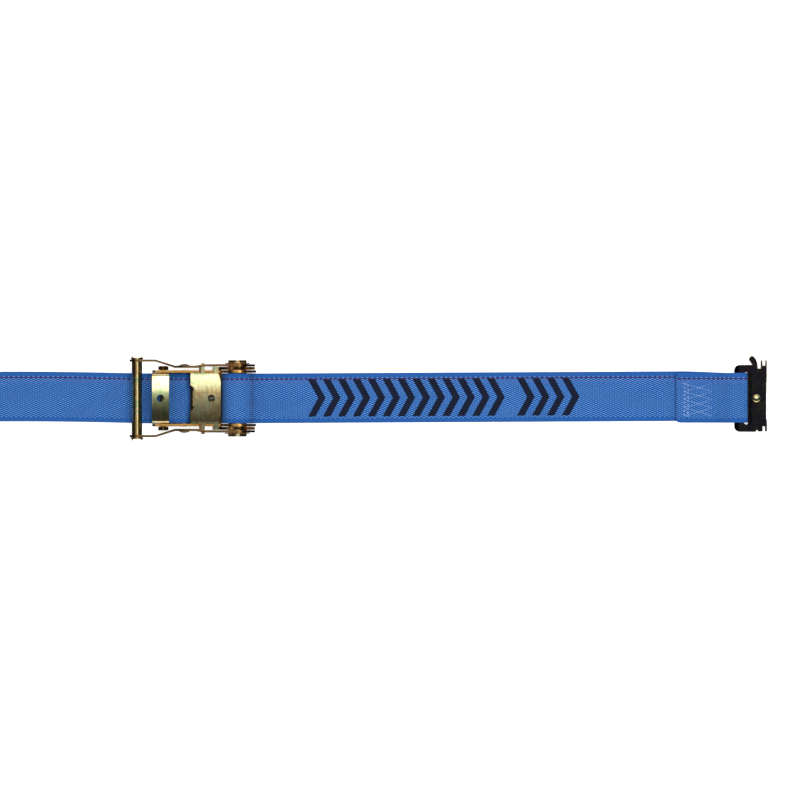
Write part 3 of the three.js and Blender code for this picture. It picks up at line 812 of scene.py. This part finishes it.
def plain(name, colour, rough, glow=0.0):
    s = Shader(name)
    grain = s.noise(s.place(), 3.0, 2.0)
    tone = s.mix(grain, tuple(c * 0.985 for c in colour), colour)
    return s.finish(Base_Color=tone, Roughness=rough, Specular_IOR_Level=0.0,
                    Emission_Color=colour, Emission_Strength=glow)


FLOOR_R = 40.0
FLOOR_Z = -0.0002
floor_points = [(FLOOR_R * math.cos(math.radians(a)), FLOOR_R * math.sin(math.radians(a)), FLOOR_Z)
                for a in range(0, 360, 5)]
floor_mesh = mesh_of("floor", floor_points, [tuple(range(len(floor_points)))], False)
floor = link("floor", floor_mesh, plain("floor_white", (0.9, 0.9, 0.9), 0.9, 0.80))
floor.visible_glossy = False
floor.visible_diffuse = False

dome_mesh = bpy.data.meshes.new("backdrop")
dome_shape = bmesh.new()
bmesh.ops.create_uvsphere(dome_shape, u_segments=48, v_segments=24, radius=FLOOR_R + 2.0)
dome_shape.to_mesh(dome_mesh)
dome_shape.free()
dome = link("backdrop", dome_mesh, plain("backdrop_white", (0.9, 0.9, 0.9), 0.9, 1.0))
for ray in ("diffuse", "glossy", "transmission", "volume_scatter", "shadow"):
    setattr(dome, f"visible_{ray}", False)


def softbox(name, place, size, power, aim, colour=(1, 1, 1), glossy=True):
    data = bpy.data.lights.new(name, "AREA")
    data.shape = "RECTANGLE"
    data.size, data.size_y = size
    data.energy = power
    data.color = colour
    lamp = bpy.data.objects.new(name, data)
    bpy.context.scene.collection.objects.link(lamp)
    lamp.location = place
    lamp.rotation_euler = (Vector(aim) - Vector(place)).to_track_quat("-Z", "Y").to_euler()
    lamp.visible_camera = False
    lamp.visible_glossy = glossy


softbox("overhead", (0.33, 0.0, 1.6), (0.7, 0.8), 12.4, (0.33, 0.0, 0.0), glossy=False)
softbox("front", (0.2, -2.6, 0.9), (2.4, 0.5), 6.0, (0.1, 0.0, 0.0), (1.0, 0.96, 0.9))


def sky_ramp(tree, value, stops):
    """A grey ramp over one part of the direction, which runs from -1 to 1."""
    share = tree.nodes.new("ShaderNodeMapRange")
    tree.links.new(value, share.inputs[0])
    share.inputs[1].default_value = -1.0
    share.inputs[2].default_value = 1.0
    ramp = tree.nodes.new("ShaderNodeValToRGB")
    tree.links.new(share.outputs[0], ramp.inputs[0])
    while len(ramp.color_ramp.elements) < len(stops):
        ramp.color_ramp.elements.new(0.5)
    for element, (place, level) in zip(ramp.color_ramp.elements, stops):
        element.position = (place + 1.0) / 2.0
        element.color = (level, level, level, 1.0)
    return ramp.outputs[0]


def combined(tree, blend, a, b):
    made = tree.nodes.new("ShaderNodeMix")
    made.data_type = "RGBA"
    made.blend_type = blend
    made.inputs[0].default_value = 1.0
    tree.links.new(a, made.inputs[6])
    tree.links.new(b, made.inputs[7])
    return made.outputs[2]


# The sky is a sum of three soft shapes, each a product of a ramp over X, Y and Z.
SKY = {
    "broad, and bright behind the object": (
        ((-1.0, 0.03), (-0.50, 0.04), (-0.34, 1.0), (0.34, 1.0), (0.50, 0.04), (1.0, 0.03)),
        ((-1.0, 0.06), (-0.20, 0.005), (-0.10, 0.038), (0.0, 0.085), (0.09, 0.26), (0.18, 0.95),
         (0.42, 1.0), (0.55, 0.08)),
        ((-1.0, 0.03), (-0.05, 0.04), (0.15, 0.5), (0.5, 1.0)),
    ),
    "a narrow strip, which draws a bright line along round pieces": (
        ((-1.0, 0.0), (0.16, 0.0), (0.22, 0.38), (0.38, 0.38), (0.44, 0.0)),
        ((-1.0, 0.0), (-0.20, 0.0), (-0.12, 1.0), (0.30, 1.0), (0.40, 0.0)),
        ((-1.0, 0.0), (0.0, 0.0), (0.2, 1.0)),
    ),
    "low in front and behind, which upright faces reflect": (
        ((-1.0, 0.75), (0.0, 1.0), (1.0, 0.75)),
        ((-1.0, 0.30), (-0.60, 0.30), (-0.25, 0.008), (0.25, 0.008), (0.60, 0.30), (1.0, 0.30)),
        ((-1.0, 0.30), (-0.30, 0.60), (0.0, 0.75), (0.12, 1.0), (0.44, 1.0), (0.62, 0.0)),
    ),
}
SKY_STRENGTH = 3.6

world = bpy.data.worlds.new("studio")
bpy.context.scene.world = world
world.use_nodes = True
tree = world.node_tree
axes = tree.nodes.new("ShaderNodeSeparateXYZ")
tree.links.new(tree.nodes.new("ShaderNodeTexCoord").outputs["Generated"], axes.inputs[0])
sky = None
for ramps in SKY.values():
    shape = None
    for axis, stops in zip(axes.outputs, ramps):
        part = sky_ramp(tree, axis, stops)
        shape = part if shape is None else combined(tree, "MULTIPLY", shape, part)
    sky = shape if sky is None else combined(tree, "ADD", sky, shape)
tree.links.new(sky, tree.nodes["Background"].inputs["Color"])
tree.nodes["Background"].inputs["Strength"].default_value = SKY_STRENGTH

bpy.context.scene.view_settings.view_transform = "Standard"
